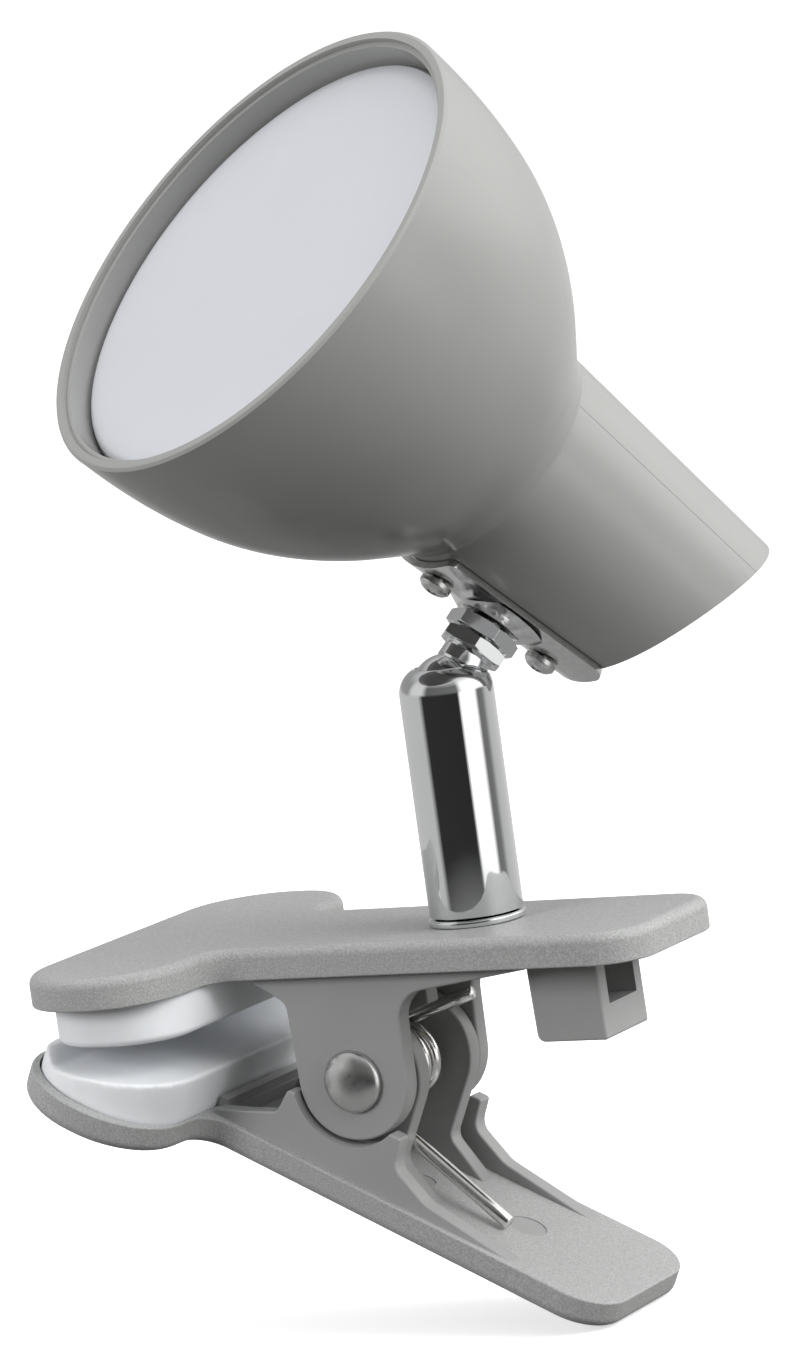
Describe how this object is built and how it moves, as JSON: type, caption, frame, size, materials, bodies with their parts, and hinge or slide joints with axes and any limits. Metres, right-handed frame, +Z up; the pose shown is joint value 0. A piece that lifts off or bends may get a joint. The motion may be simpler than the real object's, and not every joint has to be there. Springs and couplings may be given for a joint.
{
  "type": "clip on reading lamp",
  "caption": "Clip on reading lamp with a spring clip, a swivel post with a ball stud and a round shade with an opal diffuser.",
  "frame": {"origin": "centre of the gripping face of the upper jaw pad", "axes": "+Z up along the post, +X from the jaws towards the handles, +Y across the clip"},
  "size_m": [0.1184, 0.1179, 0.2172],
  "materials": {
    "arm_plastic": "satin, fine metallic fleck",
    "shade_plastic": "glossy",
    "silicone": "satin, slightly translucent",
    "opal_plastic": "opal, satin",
    "chrome": "polished",
    "zinc_steel": "zinc plated",
    "spring_steel": "nickel plated",
    "brass": "plain",
    "nylon": "plain",
    "aluminium": "plain",
    "board_white": "solder mask",
    "board_green": "solder mask",
    "dark_plastic": "plain",
    "led_phosphor": "phosphor",
    "wire_red": "insulation",
    "wire_black": "insulation"
  },
  "bodies": {
    "clip_body": {"upper_arm": "arm_plastic", "upper_pad": "silicone", "rivet_pin": "zinc_steel", "rivet_cap": "zinc_steel", "torsion_spring": "spring_steel", "post_sleeve": "brass", "post_washer": "zinc_steel", "post_nut": "zinc_steel", "base_ring": "chrome"},
    "lower_jaw": {"lower_arm": "arm_plastic", "lower_pad": "silicone"},
    "post": {"post_tube": "chrome", "post_spring": "spring_steel", "friction_cup": "nylon"},
    "stud": {"ball_stud": "chrome", "lock_nut": "chrome", "stud_end_washer": "zinc_steel", "stud_end_nut": "zinc_steel"},
    "head": {"swivel_bracket": "chrome", "bracket_screw_1": "zinc_steel", "bracket_screw_2": "zinc_steel", "driver_board": "board_green", "driver_inductor": "dark_plastic", "driver_capacitor": "dark_plastic", "driver_bridge": "dark_plastic", "driver_fuse": "nylon", "shade_shell": "shade_plastic", "diffuser": "opal_plastic", "led_board": "board_white", "heat_spreader": "aluminium", "led_1": "led_phosphor", "led_2": "led_phosphor", "led_3": "led_phosphor", "led_4": "led_phosphor", "led_5": "led_phosphor", "led_6": "led_phosphor", "led_7": "led_phosphor", "led_8": "led_phosphor", "led_9": "led_phosphor", "board_screw_1": "zinc_steel", "board_screw_2": "zinc_steel", "lead_wire_1": "wire_red", "lead_wire_2": "wire_black"}
  },
  "joints": [
    {"name": "clip_hinge", "type": "hinge", "parent": "clip_body", "child": "lower_jaw", "pos_m": [0.0372, 0, -0.0112], "axis": [0, -1, 0], "range_deg": [0, 28], "stiffness_Nm_per_rad": 0.5, "springref_deg": -45.84, "deforming": ["torsion_spring"]},
    {"name": "post_swivel", "type": "hinge", "parent": "clip_body", "child": "post", "pos_m": [0.057, 0, 0.0127], "axis": [0, 0, 1], "range_deg": [-170, 170]},
    {"name": "head_tilt", "type": "hinge", "parent": "post", "child": "stud", "pos_m": [0.057, 0, 0.0524], "axis": [-0.796, 0.6053, 0], "range_deg": [-44, 3]},
    {"name": "head_twist", "type": "hinge", "parent": "stud", "child": "head", "pos_m": [0.057, 0, 0.0524], "axis": [0.4243, 0.5579, 0.7133], "range_deg": [-60, 60]}
  ]
}
